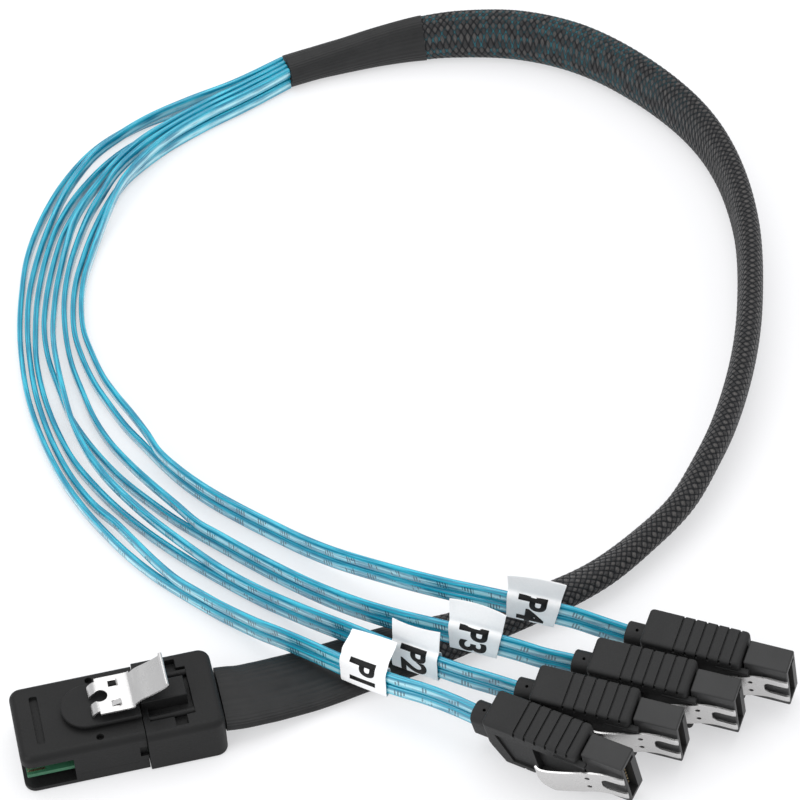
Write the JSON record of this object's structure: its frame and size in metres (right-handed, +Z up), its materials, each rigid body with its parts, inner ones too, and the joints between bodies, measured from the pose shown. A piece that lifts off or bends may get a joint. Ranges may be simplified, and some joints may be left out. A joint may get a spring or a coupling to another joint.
{
  "type": "storage breakout cable",
  "caption": "Breakout cable lying in a loose loop: a wide latched plug, a braided sleeve, and pairs of flat blue leads to small drive plugs with spring latches.",
  "frame": {"origin": "on the floor under the middle of the box around the plugs, cords left out", "axes": "+Z up; +X to the right, along the longest way across the plugs; +Y away from the viewer, towards the far side of the loop"},
  "size_m": [0.1741, 0.2427, 0.0228],
  "materials": {
    "host_black": "fine grained, matt",
    "card_green": "solder mask over glass fibre board, with gold pads at the front edge",
    "wire_resin": "moulded",
    "latch_steel": "stamped and bent, satin",
    "shrink_black": "shrunk on, satin",
    "braid_grey": "braided filament",
    "lead_blue": "glossy, slightly see-through jacket",
    "label_paper": "matt, folded",
    "mold_grey": "fine grained, matt",
    "nose_grey": "smooth, satin",
    "contact_gold": "plated"
  },
  "bodies": {
    "root": {"host_upper_shell": "host_black", "host_lower_shell": "host_black", "host_rear_cover": "host_black", "host_edge_card": "card_green", "host_wire_block": "wire_resin", "ribbon_sleeve": "shrink_black", "braided_sleeve": "braid_grey", "breakout_tube": "shrink_black", "lead_1_lower": "lead_blue", "lead_1_upper": "lead_blue", "port_label_1": "label_paper", "lead_2_lower": "lead_blue", "lead_2_upper": "lead_blue", "port_label_2": "label_paper", "lead_3_lower": "lead_blue", "lead_3_upper": "lead_blue", "port_label_3": "label_paper", "lead_4_lower": "lead_blue", "lead_4_upper": "lead_blue", "port_label_4": "label_paper", "drive_overmold_1": "mold_grey", "drive_nose_1": "nose_grey", "drive_contacts_1": "contact_gold", "drive_overmold_2": "mold_grey", "drive_nose_2": "nose_grey", "drive_contacts_2": "contact_gold", "drive_overmold_3": "mold_grey", "drive_nose_3": "nose_grey", "drive_contacts_3": "contact_gold", "drive_overmold_4": "mold_grey", "drive_nose_4": "nose_grey", "drive_contacts_4": "contact_gold"},
    "host_latch": {"host_latch": "latch_steel"},
    "drive_latch_1": {"drive_latch_1": "latch_steel"},
    "drive_latch_2": {"drive_latch_2": "latch_steel"},
    "drive_latch_3": {"drive_latch_3": "latch_steel"},
    "drive_latch_4": {"drive_latch_4": "latch_steel"}
  },
  "joints": [
    {"name": "host_latch_press", "type": "hinge", "parent": "root", "child": "host_latch", "pos_m": [-0.06373, 0.00536, 0.0126], "axis": [-0.1942, 0.981, 0], "range_deg": [0, 5], "stiffness_Nm_per_rad": 0.004, "springref_deg": -2.86},
    {"name": "drive_latch_press_1", "type": "hinge", "parent": "root", "child": "drive_latch_1", "pos_m": [0.04208, -0.02067, 0.00938], "axis": [0.1779, 0.1535, -0.972], "range_deg": [0, 7], "stiffness_Nm_per_rad": 0.004, "springref_deg": -2.86},
    {"name": "drive_latch_press_2", "type": "hinge", "parent": "root", "child": "drive_latch_2", "pos_m": [0.05358, -0.01115, 0.00895], "axis": [0.1307, 0.1696, -0.9768], "range_deg": [0, 2], "stiffness_Nm_per_rad": 0.004, "springref_deg": -2.86},
    {"name": "drive_latch_press_3", "type": "hinge", "parent": "root", "child": "drive_latch_3", "pos_m": [0.06574, -0.00464, 0.00895], "axis": [0.1301, 0.17, -0.9768], "range_deg": [0, 2], "stiffness_Nm_per_rad": 0.004, "springref_deg": -2.86},
    {"name": "drive_latch_press_4", "type": "hinge", "parent": "root", "child": "drive_latch_4", "pos_m": [0.07706, 0.00184, 0.00895], "axis": [0.1319, 0.1687, -0.9768], "range_deg": [0, 2], "stiffness_Nm_per_rad": 0.004, "springref_deg": -2.86}
  ]
}
